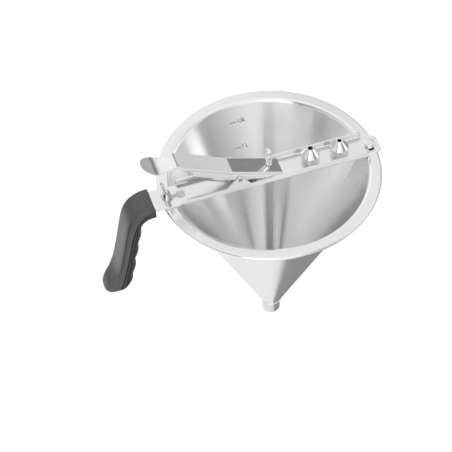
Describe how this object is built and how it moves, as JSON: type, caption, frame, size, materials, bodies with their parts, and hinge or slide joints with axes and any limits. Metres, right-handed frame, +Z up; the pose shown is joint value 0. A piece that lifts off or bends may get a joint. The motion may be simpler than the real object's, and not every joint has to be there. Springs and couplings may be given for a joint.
{
  "type": "piston funnel",
  "caption": "Conical piston funnel with a bridge across its mouth, a thumb lever that lifts a plug from the outlet, spare nozzles stored on the bridge and a hanging handle.",
  "frame": {"origin": "on the funnel's axis, at the lower face of the outlet collar, where a nozzle seats", "axes": "+Z up along the funnel's axis, +X along the bridge away from the handle, +Y to the rear"},
  "size_m": [0.2782, 0.212, 0.2651],
  "materials": {
    "spun_steel": "satin, spun",
    "sheet_steel": "brushed along",
    "turned_steel": "turned",
    "polished_steel": "polished",
    "spring_wire": "drawn wire",
    "handle_plastic": "satin moulded"
  },
  "bodies": {
    "funnel": {"funnel_body": "spun_steel", "outlet_socket": "turned_steel", "bridge": "sheet_steel", "post_near": "turned_steel", "post_far": "turned_steel", "pivot_pin": "turned_steel", "return_spring": "spring_wire", "clamp_stud": "turned_steel", "catch_stud": "polished_steel", "handle_back": "handle_plastic", "handle_grip": "handle_plastic"},
    "lever": {"lever": "sheet_steel"},
    "piston": {"piston_rod": "turned_steel", "piston_plug": "turned_steel"},
    "knob": {"rod_knob": "polished_steel"},
    "wing_nut": {"wing_nut": "polished_steel"},
    "fitted_nozzle": {"fitted_nozzle": "polished_steel"},
    "spare_nozzle_near": {"spare_nozzle_near": "polished_steel"},
    "spare_nozzle_far": {"spare_nozzle_far": "polished_steel"}
  },
  "joints": [
    {"name": "lever_press", "type": "hinge", "parent": "funnel", "child": "lever", "pos_m": [-0.0325, 0, 0.2092], "axis": [0, -1, 0], "range_deg": [0, 20], "stiffness_Nm_per_rad": 0.6, "springref_deg": -20.05, "deforming": ["return_spring"]},
    {"name": "piston_lift", "type": "slide", "parent": "funnel", "child": "piston", "axis": [0, 0, 1], "range_m": [0, 0.012]},
    {"name": "knob_turn", "type": "hinge", "parent": "piston", "child": "knob", "pos_m": [0, 0, 0.2084], "axis": [0, 0, 1], "continuous": true},
    {"name": "wing_nut_turn", "type": "hinge", "parent": "funnel", "child": "wing_nut", "pos_m": [-0.1, 0, 0.1984], "axis": [0, 0, 1], "continuous": true},
    {"name": "fitted_nozzle_turn", "type": "hinge", "parent": "funnel", "child": "fitted_nozzle", "pos_m": [0, 0, -0.004], "axis": [0, 0, 1], "continuous": true},
    {"name": "near_nozzle_turn", "type": "hinge", "parent": "funnel", "child": "spare_nozzle_near", "pos_m": [0.041, 0, 0.1994], "axis": [0, 0, 1], "continuous": true},
    {"name": "far_nozzle_turn", "type": "hinge", "parent": "funnel", "child": "spare_nozzle_far", "pos_m": [0.07, 0, 0.1994], "axis": [0, 0, 1], "continuous": true}
  ],
  "couplings": [
    {"joint": "piston_lift", "follows": "lever_press", "m_per_rad": 0.033}
  ]
}
